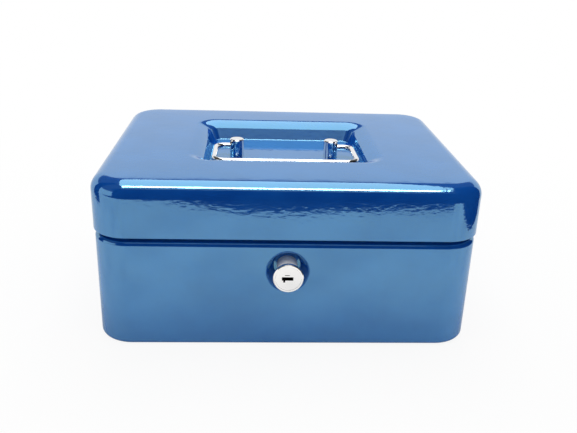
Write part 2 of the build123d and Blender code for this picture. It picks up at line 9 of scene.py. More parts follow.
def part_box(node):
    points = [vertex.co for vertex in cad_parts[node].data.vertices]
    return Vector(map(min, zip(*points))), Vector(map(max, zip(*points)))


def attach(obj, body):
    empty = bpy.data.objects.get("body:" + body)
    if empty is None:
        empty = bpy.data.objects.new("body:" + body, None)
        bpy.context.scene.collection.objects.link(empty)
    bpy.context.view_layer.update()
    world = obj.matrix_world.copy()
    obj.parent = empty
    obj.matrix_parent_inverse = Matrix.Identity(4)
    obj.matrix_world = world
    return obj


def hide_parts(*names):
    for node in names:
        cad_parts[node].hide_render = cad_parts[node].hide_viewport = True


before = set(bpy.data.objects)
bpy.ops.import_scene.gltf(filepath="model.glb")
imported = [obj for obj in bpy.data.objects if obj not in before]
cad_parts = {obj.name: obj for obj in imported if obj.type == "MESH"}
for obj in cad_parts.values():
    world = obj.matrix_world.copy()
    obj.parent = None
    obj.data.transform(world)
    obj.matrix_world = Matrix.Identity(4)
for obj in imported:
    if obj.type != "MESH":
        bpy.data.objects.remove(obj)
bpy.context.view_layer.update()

bl_info = {
    "name": "Petty Cash Box",
    "version": (1, 0, 0),
    "blender": (4, 5, 0),
    "location": "View3D > Sidebar > Cash Box",
    "description": "Dresses the frame of a blue enamelled cash box with its pressings and finishes",
    "category": "Object",
}

MM = 0.001
PER_MM = 1 / MM
NEAR = 0.05 * MM
CORNER_SEGMENTS = 12
CIRCLE_SEGMENTS = 48
LID_LOW, LID_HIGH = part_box("lid_shell")
BASE_LOW, BASE_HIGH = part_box("base_shell")
BARREL_LOW, BARREL_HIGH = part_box("lock_barrel")
FINISHES = {}


def linear(hex_colour):
    """An sRGB hex colour as the linear values that a shader takes."""
    channels = [int(hex_colour[i : i + 2], 16) / 255 for i in (1, 3, 5)]
    return tuple(c / 12.92 if c <= 0.04045 else ((c + 0.055) / 1.055) ** 2.4 for c in channels)


def length(name, description, millimetres):
    """A length property whose default is given in millimetres."""
    return FloatProperty(
        name=name, description=description, default=millimetres * MM, unit="LENGTH"
    )


def angle(name, description, degrees):
    """An angle property whose default is given in degrees."""
    return FloatProperty(
        name=name, description=description, default=math.radians(degrees), unit="ROTATION"
    )


def power(name, description, watts):
    """A lamp's power property, in watts."""
    return FloatProperty(name=name, description=description, default=watts, unit="POWER")


def colour(name, description, hex_colour):
    """A colour property whose default is given as sRGB hex."""
    return FloatVectorProperty(
        name=name,
        description=description,
        default=linear(hex_colour),
        subtype="COLOR",
        min=0,
        max=1,
    )


class LidSizes(bpy.types.PropertyGroup):
    """Sizes of the lid pressing."""

    sheet: length("Sheet", "Thickness of the steel sheet", 0.8)
    corner: length("Corner", "Radius of the upright corners", 19.0)
    top_radius: length("Top radius", "Radius of the rounded top edge", 8.0)
    crown_width: length("Crown width", "Width of the faint slope inside the top edge", 7.0)
    crown_drop: length("Crown drop", "How far the faint slope falls towards the edge", 0.25)
    hem_depth: length("Hem depth", "How far the folded hem reaches up inside", 4.35)
    fold_radius: length("Fold radius", "Radius of the hem's fold", 0.4)
    hem_gap: length("Hem gap", "Half the width of the gap in the hem at each hinge", 21.0)
    hinge_x: length("Hinge place", "How far each hinge stands from the middle", 55.0)
    well_width: length("Well width", "Width of the handle well where its lip meets the top", 99.4)
    well_length: length("Well length", "Front to back length of the well there", 80.6)
    well_y: length("Well place", "How far the well's middle stands behind the box's", 3.0)
    well_corner: length("Well corner", "Corner radius of the well there", 9.0)
    well_depth: length("Well depth", "Depth of the well's floor", 10.0)
    lip_radius: length("Lip radius", "Radius of the soft lip", 12.5)
    lip_slope: length("Lip slope", "Length of the slope from that edge to the crease", 5.3)
    lip_turn: angle("Lip turn", "How far the soft lip bends down", 43)
    wall_turn: angle("Wall slope", "Slope of the well's front and back walls", 56.5)
    side_turn: angle("Side slope", "Slope of the well's side walls", 65)
    well_crease_corner: length("Well crease corner", "Corner radius of the crease", 6.0)
    well_floor_corner: length("Well floor corner", "Corner radius of the well's floor", 5.0)
    well_foot: length("Well foot", "Radius between the well's wall and floor", 1.0)


class BaseSizes(bpy.types.PropertyGroup):
    """Sizes of the base pressing."""

    sheet: length("Sheet", "Thickness of the steel sheet", 0.8)
    corner: length("Corner", "Radius of the upright corners", 18.4)
    bottom_radius: length("Bottom radius", "Radius of the bottom edge", 2.6)
    ledge_height: length("Ledge height", "Height of the ledge that the lid stands over", 59.0)
    ledge_width: length("Ledge width", "Width of the ledge from the wall to the neck", 3.5)
    shoulder_radius: length("Shoulder radius", "Radius of the ledge's outer edge", 2.5)
    hinge_x: length("Hinge place", "How far each hinge stands from the middle", 55.0)
    slot_width: length("Slot width", "Width of the slot that a hinge leaf passes through", 40.4)
    slot_height: length("Slot height", "Height of that slot's opening", 1.4)
    slot_z: length("Slot place", "Height of that slot's middle", 54.5)
    lock_z: length("Lock height", "Height of the lock's axis", 43.2)
    dish_mouth: length("Dish mouth", "Radius of the lock dish at the wall", 10.75)
    dish_floor: length("Dish floor", "Radius of the lock dish at its floor", 7.0)
    dish_hole: length("Dish hole", "Radius of the hole for the barrel", 5.1)
    dish_depth: length("Dish depth", "Depth of the lock dish", 8.5)
    dish_lip: length("Dish lip", "Radius of the dish's lip", 1.2)


class FinishColours(bpy.types.PropertyGroup):
    """Colours of the finishes."""

    enamel: colour("Enamel", "Deep blue of the stoved enamel", "#0246A1")
    enamel_thin: colour("Thin enamel", "Slightly lighter blue where the coat is thinner", "#0950AC")
    enamel_gleam: colour("Enamel gleam", "Tint of what the enamel reflects", "#98DEF6")
    chrome: colour("Chrome", "Chromium plate", "#E9E9EA")
    # On the lock's neck this near white is a non-metal, a painted highlight
    nickel: colour("Nickel", "Nickel plate of the lock", "#F8F7F5")
    # The keyway's colour is painted shade: the deep hole drawn black
    keyway_shade: colour("Graphite", "Worn and blackened inside of the keyway", "#141414")
    zinc: colour("Zinc", "Zinc plated steel", "#B4B7BA")
    zinc_dull: colour("Dull zinc", "Zinc plate where it has dulled", "#96999D")
    brass: colour("Brass", "Stamped brass of the wafers", "#C9A25B")
    tray: colour("Tray", "Moulded black polystyrene of the coin tray", "#17181A")
    floor: colour("Floor", "White floor", "#F4F4F4")
    dark: colour("Dark room", "Dark side of the room, which only the gloss mirrors", "#272729")


class StageSettings(bpy.types.PropertyGroup):
    """The camera's place, the lamps, the floor and the room."""

    elevation: angle("Elevation", "Camera's height over the target", 22.12)
    azimuth: angle("Azimuth", "Camera's turn to the left of the front", 3.38)
    roll: angle("Roll", "Camera's tilt", 2.0)
    distance: length("Distance", "From the camera to the target", 424.0)
    target_x: length("Target across", "Target's place to the right of the middle", 4.07)
    target_z: length("Target height", "Target's height", 41.46)
    lens: FloatProperty(
        name="Lens", description="Focal length on a 36 mm sensor", default=42.76, unit="CAMERA"
    )
    lamp_z: length("Lamp height", "Height of the lamps over the floor", 1090.0)
    lamp_width: length("Lamp width", "Width of the soft lamp and the dim strip", 760.0)
    soft_power: power("Soft lamp power", "Power of the soft lamp overhead", 9.0)
    soft_depth: length("Soft lamp depth", "Front to back size of the soft lamp", 1722.0)
    soft_y: length("Soft lamp place", "How far its middle stands behind the box's", 569.0)
    strip_power: power("Strip power", "Power of the strip that only gloss shows", 6.5)
    strip_width: length("Strip width", "Width of the strip", 690.0)
    strip_x: length("Strip across", "How far the strip's middle stands to the right", 35.0)
    strip_depth: length("Strip depth", "Front to back size of the strip", 196.0)
    strip_y: length("Strip place", "How far the strip's middle stands in front of the box's", 390.0)
    dim_power: power("Dim strip power", "Power of the dim strip in front of it", 0.3)
    dim_depth: length("Dim strip depth", "Front to back size of the dim strip", 310.0)
    dim_y: length("Dim strip place", "How far its middle stands in front of the box's", 645.0)
    room: FloatProperty(
        name="Room light", description="Strength of the even light around", default=0.6
    )
    wall_top: angle("White wall", "Angle up to which gloss sees the white wall", 22)
    table_front: length("Table front", "How far the floor reaches in front of the middle", 270.0)
    table_bow: length("Table bow", "How much further the floor's front reaches at its left", 36.0)
    table_reach: length("Table reach", "How far the white floor reaches elsewhere", 1500.0)
    dark_front: length("Dark wall", "How far the dark wall stands in front of the middle", 1250.0)
    dark_width: length("Dark width", "Width of the dark side of the room", 2400.0)
    dark_height: length("Dark height", "Height of its wall", 1250.0)


class CashBoxSettings(bpy.types.PropertyGroup):
    """Everything about the cash box that a user would change."""

    lid: PointerProperty(type=LidSizes)
    base: PointerProperty(type=BaseSizes)
    colours: PointerProperty(type=FinishColours)
    stage: PointerProperty(type=StageSettings)


# Selecting and shaping, as by hand


def begin():
    """Leaves nothing selected, so that the next operator acts on the new piece alone."""
    if bpy.context.mode != "OBJECT":
        bpy.ops.object.mode_set(mode="OBJECT")
    bpy.ops.object.select_all(action="DESELECT")


def edit(piece):
    """Opens one piece in edit mode, and no other."""
    begin()
    piece.select_set(True)
    bpy.context.view_layer.objects.active = piece
    bpy.ops.object.mode_set(mode="EDIT")


def pick(kind, test):
    """Selects the vertices, edges or faces that pass a test of one element."""
    bpy.ops.mesh.select_mode(type=kind)
    bpy.ops.mesh.select_all(action="DESELECT")
    mesh = bmesh.from_edit_mesh(bpy.context.edit_object.data)
    elements = {"VERT": mesh.verts, "EDGE": mesh.edges, "FACE": mesh.faces}[kind]
    found = [element for element in elements if test(element)]
    if not found:
        raise RuntimeError(f"nothing to select on {bpy.context.edit_object.name}")
    for element in found:
        element.select_set(True)
    mesh.select_flush_mode()
    bmesh.update_edit_mesh(bpy.context.edit_object.data)


def close(a, b):
    """True where two lengths are the same within a small tolerance."""
    return abs(a - b) < NEAR


def edge_at(axis, place):
    """A test for the edges that lie at one place along an axis."""
    return lambda edge: all(close(vertex.co[axis], place) for vertex in edge.verts)


def face_at(axis, place):
    """A test for the flat faces that lie at one place along an axis."""
    return lambda face: all(close(vertex.co[axis], place) for vertex in face.verts)


def many_sided(face):
    """True for a plate's flat face, which its round corners give many sides."""
    return len(face.verts) > 8


def fold_at(axis, place):
    """A test for the edges at one place where the surface folds outwards."""
    at_place = edge_at(axis, place)
    return lambda edge: at_place(edge) and edge.calc_face_angle_signed(0) > math.radians(20)


def face_outwards():
    """Turns every normal of the piece in edit mode outwards."""
    bpy.ops.mesh.select_all(action="SELECT")
    bpy.ops.mesh.normals_make_consistent(inside=False)


def rounded_plate(name, width, depth, corner, centre):
    """Starts a piece as a flat plate with round corners, lying level."""
    begin()
    bpy.ops.mesh.primitive_plane_add(size=1, location=centre)
    plate = bpy.context.object
    plate.name = plate.data.name = name
    plate.scale = (width, depth, 1)
    bpy.ops.object.transform_apply(location=True, rotation=True, scale=True)
    edit(plate)
    bpy.ops.mesh.bevel(
        offset=corner, segments=CORNER_SEGMENTS, profile=0.5, affect="VERTICES"
    )
    return plate


def extrude(move):
    """Extrudes the selected faces or edges by a move."""
    bpy.ops.mesh.extrude_region_move(TRANSFORM_OT_translate={"value": move})


def shrink_face(centre, now, wanted):
    """Insets the selected face by a hair, then sizes and moves the new face to its place.

    now holds the middle and the size of the selected face, and wanted the size of the new one.
    """
    hair = 0.1 * MM
    middle, size = now
    bpy.ops.mesh.inset(thickness=hair, depth=0)
    ratio = [w / (s - 2 * hair) if s > 0 else 1 for w, s in zip(wanted, size)]
    bpy.ops.transform.resize(value=ratio, center_override=middle)
    bpy.ops.transform.translate(value=Vector(centre) - Vector(middle))


def finish_sheet(piece, thickness, outward):
    """Gives a skin its sheet thickness on the inside, and shades it as smooth bent metal."""
    edit(piece)
    bpy.ops.mesh.select_all(action="SELECT")
    bpy.ops.mesh.remove_doubles(threshold=NEAR / 10)
    bpy.ops.mesh.normals_make_consistent(inside=False)
    mesh = bmesh.from_edit_mesh(piece.data)
    facing = [face for face in mesh.faces if abs(face.normal.dot(outward)) > 0.9]
    largest = max(facing, key=lambda face: face.calc_area())
    if largest.normal.dot(outward) < 0:
        bpy.ops.mesh.flip_normals()
    bpy.ops.object.mode_set(mode="OBJECT")
    wall = piece.modifiers.new("sheet", "SOLIDIFY")
    wall.thickness = thickness
    wall.offset = -1
    wall.use_even_offset = True
    bpy.ops.object.modifier_apply(modifier=wall.name)
    smooth(piece)


def smooth(piece, degrees=40):
    """Smooth shading over round faces, with flat faces kept flat by their area."""
    begin()
    piece.select_set(True)
    bpy.context.view_layer.objects.active = piece
    bpy.ops.object.shade_smooth_by_angle(angle=math.radians(degrees))
    even = piece.modifiers.new("even", "WEIGHTED_NORMAL")
    even.mode = "FACE_AREA"
    even.weight = 50
    even.keep_sharp = True
    bpy.ops.object.modifier_apply(modifier=even.name)


def join(piece, *others):
    """Joins other meshes into one piece."""
    begin()
    for other in (*others, piece):
        other.select_set(True)
    bpy.context.view_layer.objects.active = piece
    bpy.ops.object.join()


# Finishes


def add_node(tree, kind, inputs=(), **settings):
    """Adds one node with its settings and links.

    Each input takes a value, an output to link from, or a node, whose first output in use it links.
    """
    made = tree.nodes.new(kind)
    for name, value in settings.items():
        setattr(made, name, value)
    for name, value in dict(inputs).items():
        if isinstance(value, bpy.types.Node):
            value = next(output for output in value.outputs if output.enabled)
        if isinstance(value, bpy.types.NodeSocket):
            tree.links.new(value, made.inputs[name])
        else:
            made.inputs[name].default_value = value
    return made


def new_material(name):
    """An empty node material and its tree, with the Object coordinates that patterns follow."""
    material = bpy.data.materials.new(name)
    material.use_nodes = True
    tree = material.node_tree
    tree.nodes.clear()
    place = add_node(tree, "ShaderNodeTexCoord").outputs["Object"]
    return material, tree, place


# A pattern's Scale is PER_MM over the size in millimetres that its features have on the real part


def stoved_enamel(colours):
    """Blue stoved enamel on drawn steel sheet: sprayed, then baked hard and glossy.

    The eye sees a deep blue under a clear gloss. The gloss mirrors the room with ragged edges,
    because the sheet is faintly wavy from drawing and the paint has an orange peel. The coat's
    thickness changes over some 22 mm, the sheet waves over 15 mm, and the peel's dimples are
    4 mm wide and half as tall.
    """
    material, tree, place = new_material("stoved_enamel_on_drawn_steel")
    patches = add_node(
        tree, "ShaderNodeTexNoise", {"Vector": place, "Scale": PER_MM / 22, "Detail": 3.0}
    )
    thin = add_node(
        tree, "ShaderNodeMapRange", {"Value": patches, "From Min": 0.35, "From Max": 0.65}
    )
    tint = add_node(
        tree,
        "ShaderNodeMix",
        {0: thin, 6: (*colours.enamel, 1), 7: (*colours.enamel_thin, 1)},
        data_type="RGBA",
    )
    swell = add_node(
        tree, "ShaderNodeTexNoise", {"Vector": place, "Scale": PER_MM / 15, "Detail": 1.0}
    )
    waves = add_node(tree, "ShaderNodeBump", {"Height": swell, "Distance": 0.05 * MM})
    halved = add_node(tree, "ShaderNodeVectorMath", {0: place, 1: (1, 1, 2)}, operation="MULTIPLY")
    dimples = add_node(
        tree, "ShaderNodeTexNoise", {"Vector": halved, "Scale": PER_MM / 4.2, "Detail": 2.0}
    )
    peel = add_node(
        tree, "ShaderNodeBump", {"Height": dimples, "Distance": 0.036 * MM, "Normal": waves}
    )
    surface = add_node(
        tree,
        "ShaderNodeBsdfPrincipled",
        {
            "Base Color": tint,
            "Roughness": 0.06,
            "IOR": 2.2,
            "Specular IOR Level": 1.0,
            "Specular Tint": (*colours.enamel_gleam, 1),
            "Coat Weight": 0.3,
            "Coat Roughness": 0.03,
            "Coat IOR": 1.5,
            "Normal": peel,
            "Coat Normal": peel,
        },
    )
    add_node(tree, "ShaderNodeOutputMaterial", {"Surface": surface})
    return material


def chromium_plate(colours):
    """Bright chromium plate on polished wire and turned posts.

    The eye sees a mirror with a very faint haze. The haze from the polishing mop changes over
    some 2.5 mm, and its strokes leave ripples about 1.2 mm apart.
    """
    material, tree, place = new_material("bright_chromium_plate")
    mopped = add_node(
        tree, "ShaderNodeTexNoise", {"Vector": place, "Scale": PER_MM / 2.5, "Detail": 3.0}
    )
    haze = add_node(
        tree,
        "ShaderNodeMapRange",
        {"Value": mopped, "From Min": 0.3, "From Max": 0.7, "To Min": 0.04, "To Max": 0.1},
    )
    ripple = add_node(
        tree, "ShaderNodeTexNoise", {"Vector": place, "Scale": PER_MM / 1.2, "Detail": 2.0}
    )
    polish = add_node(tree, "ShaderNodeBump", {"Height": ripple, "Distance": 0.0015 * MM})
    surface = add_node(
        tree,
        "ShaderNodeBsdfPrincipled",
        {
            "Base Color": (*colours.chrome, 1),
            "Metallic": 1.0,
            "Roughness": haze,
            "Normal": polish,
        },
    )
    add_node(tree, "ShaderNodeOutputMaterial", {"Surface": surface})
    return material


def nickel_plate(colours):
    """Nickel plate on the turned lock barrel and its plug.

    The polished head mirrors the white floor. The neck behind it is satin, and is made a near white
    non-metal, a painted highlight that reads as a flat pale grey. The keyway is painted black, as
    painted shade in the deep hole.
    """
    material, tree, place = new_material("bright_nickel_plate")
    front = BARREL_LOW.y
    axis = (0, 0, (BARREL_LOW.z + BARREL_HIGH.z) / 2)
    along = add_node(tree, "ShaderNodeSeparateXYZ", {0: place}).outputs["Y"]

    # The head is 2.2 mm thick, and the satin neck starts at its back; there it is a near white
    # non-metal, a painted highlight
    neck = add_node(
        tree,
        "ShaderNodeMapRange",
        {"Value": along, "From Min": front + 2.2 * MM, "From Max": front + 2.4 * MM},
    )
    metal = add_node(tree, "ShaderNodeMapRange", {"Value": neck, "To Min": 1.0, "To Max": 0.0})
    satin = add_node(tree, "ShaderNodeMapRange", {"Value": neck, "To Min": 0.1, "To Max": 0.6})

    # The keyway lies inside 3.6 mm of the axis and behind the plug's face, and is painted black
    # there as painted shade
    across = add_node(tree, "ShaderNodeVectorMath", {0: place, 1: (1, 0, 1)}, operation="MULTIPLY")
    radius = add_node(tree, "ShaderNodeVectorMath", {0: across, 1: axis}, operation="DISTANCE")
    inside = add_node(
        tree,
        "ShaderNodeMapRange",
        {
            "Value": radius,
            "From Min": 3.5 * MM,
            "From Max": 3.7 * MM,
            "To Min": 1.0,
            "To Max": 0.0,
        },
    )
    behind = add_node(
        tree,
        "ShaderNodeMapRange",
        {"Value": along, "From Min": front + 0.12 * MM, "From Max": front + 0.16 * MM},
    )
    painted_keyway_shade = add_node(tree, "ShaderNodeMath", {0: inside, 1: behind}, operation="MULTIPLY")
    tint = add_node(
        tree,
        "ShaderNodeMix",
        {0: painted_keyway_shade, 6: (*colours.nickel, 1), 7: (*colours.keyway_shade, 1)},
        data_type="RGBA",
    )

    # Ripples from the polishing, about 1.2 mm apart
    ripple = add_node(
        tree, "ShaderNodeTexNoise", {"Vector": place, "Scale": PER_MM / 1.2, "Detail": 2.0}
    )
    polish = add_node(tree, "ShaderNodeBump", {"Height": ripple, "Distance": 0.0015 * MM})
    surface = add_node(
        tree,
        "ShaderNodeBsdfPrincipled",
        {"Base Color": tint, "Metallic": metal, "Roughness": satin, "Normal": polish},
    )
    add_node(tree, "ShaderNodeOutputMaterial", {"Surface": surface})
    return material


def zinc_plate(colours):
    """Zinc plated pressed steel.

    The eye sees a grey satin metal with cloudy dull patches some 4 mm wide. The sheet's fine
    rolling grain is drawn at 0.35 mm, coarser than the real one, so that it shows.
    """
    material, tree, place = new_material("zinc_plated_steel")
    patches = add_node(
        tree, "ShaderNodeTexNoise", {"Vector": place, "Scale": PER_MM / 4, "Detail": 4.0}
    )
    cloud = add_node(
        tree, "ShaderNodeMapRange", {"Value": patches, "From Min": 0.35, "From Max": 0.65}
    )
    tint = add_node(
        tree,
        "ShaderNodeMix",
        {0: cloud, 6: (*colours.zinc, 1), 7: (*colours.zinc_dull, 1)},
        data_type="RGBA",
    )
    dull = add_node(tree, "ShaderNodeMapRange", {"Value": cloud, "To Min": 0.28, "To Max": 0.42})
    rolled = add_node(
        tree, "ShaderNodeTexNoise", {"Vector": place, "Scale": PER_MM / 0.35, "Detail": 2.0}
    )
    grain = add_node(tree, "ShaderNodeBump", {"Height": rolled, "Distance": 0.004 * MM})
    surface = add_node(
        tree,
        "ShaderNodeBsdfPrincipled",
        {"Base Color": tint, "Metallic": 1.0, "Roughness": dull, "Normal": grain},
    )
    add_node(tree, "ShaderNodeOutputMaterial", {"Surface": surface})
    return material


def stamped_brass(colours):
    """Stamped brass sheet.

    The eye sees a warm satin metal, rubbed in patches some 1.5 mm wide, with the press's fine
    marks, drawn at 0.25 mm, coarser than the real ones, so that they show.
    """
    material, tree, place = new_material("stamped_brass")
    patches = add_node(
        tree, "ShaderNodeTexNoise", {"Vector": place, "Scale": PER_MM / 1.5, "Detail": 2.0}
    )
    rubbed = add_node(
        tree, "ShaderNodeMapRange", {"Value": patches, "To Min": 0.25, "To Max": 0.4}
    )
    marks = add_node(
        tree, "ShaderNodeTexNoise", {"Vector": place, "Scale": PER_MM / 0.25, "Detail": 2.0}
    )
    grain = add_node(tree, "ShaderNodeBump", {"Height": marks, "Distance": 0.003 * MM})
    surface = add_node(
        tree,
        "ShaderNodeBsdfPrincipled",
        {
            "Base Color": (*colours.brass, 1),
            "Metallic": 1.0,
            "Roughness": rubbed,
            "Normal": grain,
        },
    )
    add_node(tree, "ShaderNodeOutputMaterial", {"Surface": surface})
    return material


def moulded_polystyrene(colours):
    """Black high impact polystyrene, injection moulded in a spark-eroded mould.

    The eye sees a satin black whose gloss changes over some 9 mm. The mould's fine grain is drawn
    at 0.6 mm, coarser than the real one, so that it shows.
    """
    material, tree, place = new_material("moulded_black_polystyrene")
    patches = add_node(
        tree, "ShaderNodeTexNoise", {"Vector": place, "Scale": PER_MM / 9, "Detail": 2.0}
    )
    satin = add_node(
        tree, "ShaderNodeMapRange", {"Value": patches, "To Min": 0.38, "To Max": 0.5}
    )
    sparks = add_node(
        tree, "ShaderNodeTexNoise", {"Vector": place, "Scale": PER_MM / 0.6, "Detail": 2.0}
    )
    grain = add_node(tree, "ShaderNodeBump", {"Height": sparks, "Distance": 0.012 * MM})
    surface = add_node(
        tree,
        "ShaderNodeBsdfPrincipled",
        {"Base Color": (*colours.tray, 1), "Roughness": satin, "IOR": 1.59, "Normal": grain},
    )
    add_node(tree, "ShaderNodeOutputMaterial", {"Surface": surface})
    return material


def finish(maker):
    """One finish, made the first time it is asked for."""
    if maker not in FINISHES:
        FINISHES[maker] = maker(bpy.context.scene.cash_box.colours)
    return FINISHES[maker]


def dress(maker, *nodes):
    """Gives CAD nodes or pieces their finish."""
    for node in nodes:
        mesh = (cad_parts[node] if isinstance(node, str) else node).data
        mesh.materials.clear()
        mesh.materials.append(finish(maker))


# Pieces


class CASHBOX_OT_lid(bpy.types.Operator):
    """Press the lid: rounded shell, sunk handle well and folded hem"""

    bl_idname = "cash_box.lid"
    bl_label = "Lid"

    def execute(self, context):
        size = context.scene.cash_box.lid
        width, depth = LID_HIGH.x - LID_LOW.x, LID_HIGH.y - LID_LOW.y
        bottom, top = LID_LOW.z, LID_HIGH.z
        edge_top = top - size.crown_drop
        lid = rounded_plate("lid_pressing", width, depth, size.corner, (0, 0, bottom))
        bpy.ops.mesh.select_all(action="SELECT")
        extrude((0, 0, edge_top - bottom))

        # Rounded top edge, and the faint slope that a drawn lid has inside it
        pick("EDGE", edge_at(2, edge_top))
        bpy.ops.mesh.bevel(offset=size.top_radius, segments=14, profile=0.5, affect="EDGES")
        pick("FACE", face_at(2, edge_top))
        bpy.ops.mesh.inset(thickness=size.crown_width, depth=size.crown_drop)
        pick("FACE", face_at(2, top))
        bpy.ops.mesh.delete(type="ONLY_FACE")

        # Hem folded in and up along the lower edge
        pick("FACE", face_at(2, bottom))
        bpy.ops.mesh.inset(thickness=2 * size.sheet, depth=0)
        pick("FACE", lambda face: face_at(2, bottom)(face) and many_sided(face))
        extrude((0, 0, size.hem_depth))
        pick("FACE", many_sided)
        bpy.ops.mesh.delete(type="ONLY_FACE")
        face_outwards()
        pick("EDGE", fold_at(2, bottom))
        bpy.ops.mesh.bevel(offset=size.fold_radius, segments=4, profile=0.5, affect="EDGES")
        self.cut_hem(size, bottom)

        # Handle well, bridged into the flat top
        well = self.make_well(size, top)
        bpy.ops.object.mode_set(mode="OBJECT")
        join(lid, well)
        edit(lid)
        pick("EDGE", lambda e: e.is_boundary and edge_at(2, top)(e))
        bpy.ops.mesh.bridge_edge_loops()
        finish_sheet(lid, size.sheet, Vector((0, -1, 0)))
        dress(stoved_enamel, lid)
        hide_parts("lid_shell")
        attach(lid, "lid")
        return {"FINISHED"}

    def cut_hem(self, size, bottom):
        """Leaves the hem out where the hinge leaves lie."""
        back = LID_HIGH.y
        inner = back - 1.5 * size.sheet

        def in_hem(face):
            middle = face.calc_center_median()
            low = middle.z < bottom + size.hem_depth
            return low and back - 3 * size.sheet < middle.y < inner + size.sheet

        for place in (-1, 1):
            for side in (-1, 1):
                x = place * size.hinge_x + side * size.hem_gap
                pick("FACE", lambda f: in_hem(f) and abs(f.normal.x) < 0.01)
                bpy.ops.mesh.bisect(plane_co=(x, 0, 0), plane_no=(1, 0, 0))

        def in_gap(face):
            from_hinge = abs(abs(face.calc_center_median().x) - size.hinge_x)
            return in_hem(face) and abs(face.normal.x) < 0.01 and from_hinge < size.hem_gap

        pick("FACE", in_gap)
        bpy.ops.mesh.delete(type="FACE")

    def make_well(self, size, top):
        """The well's soft lip, wall and floor, open to be bridged at its outer edge."""
        tangent = size.lip_radius * math.tan(size.lip_turn / 2)
        margin = 0.5 * MM
        outside = tangent + margin
        well = rounded_plate(
            "handle_well",
            size.well_width + 2 * outside,
            size.well_length + 2 * outside,
            size.well_corner + outside,
            (0, size.well_y, top),
        )
        bpy.ops.mesh.select_all(action="SELECT")
        bpy.ops.mesh.inset(thickness=outside, depth=0)

        # The lip's slope and the wall, each inset to its lower corner radius and then sized
        lip_run = size.lip_slope * math.cos(size.lip_turn)
        lip_drop = size.lip_slope * math.sin(size.lip_turn)
        wall_drop = size.well_depth - lip_drop
        wall_runs = [wall_drop / math.tan(turn) for turn in (size.side_turn, size.wall_turn)]
        slopes = (
            (lip_drop, (lip_run, lip_run), size.well_corner - size.well_crease_corner),
            (wall_drop, wall_runs, size.well_crease_corner - size.well_floor_corner),
        )
        now = (size.well_width, size.well_length)
        place = top
        for drop, runs, step in slopes:
            bpy.ops.mesh.inset(thickness=step, depth=-drop)
            place -= drop
            wanted = [side - 2 * run for side, run in zip(now, runs)]
            lean = [to / (side - 2 * step) for to, side in zip(wanted, now)]
            bpy.ops.transform.resize(value=(*lean, 1), center_override=(0, size.well_y, place))
            now = wanted

        # The crease is shaded sharp, because smoothed normals would draw a white line along it
        pick("EDGE", edge_at(2, top - lip_drop))
        bpy.ops.mesh.mark_sharp()
        pick("EDGE", edge_at(2, place))
        foot = size.well_foot * math.tan(size.wall_turn / 2)
        bpy.ops.mesh.bevel(offset=foot, segments=4, profile=0.5, affect="EDGES")

        def at_lip(edge):
            folded = edge.calc_face_angle(0) > size.lip_turn / 2
            return edge_at(2, top)(edge) and not edge.is_boundary and folded

        pick("EDGE", at_lip)
        bpy.ops.mesh.bevel(offset=tangent, segments=16, profile=0.5, affect="EDGES")
        return well


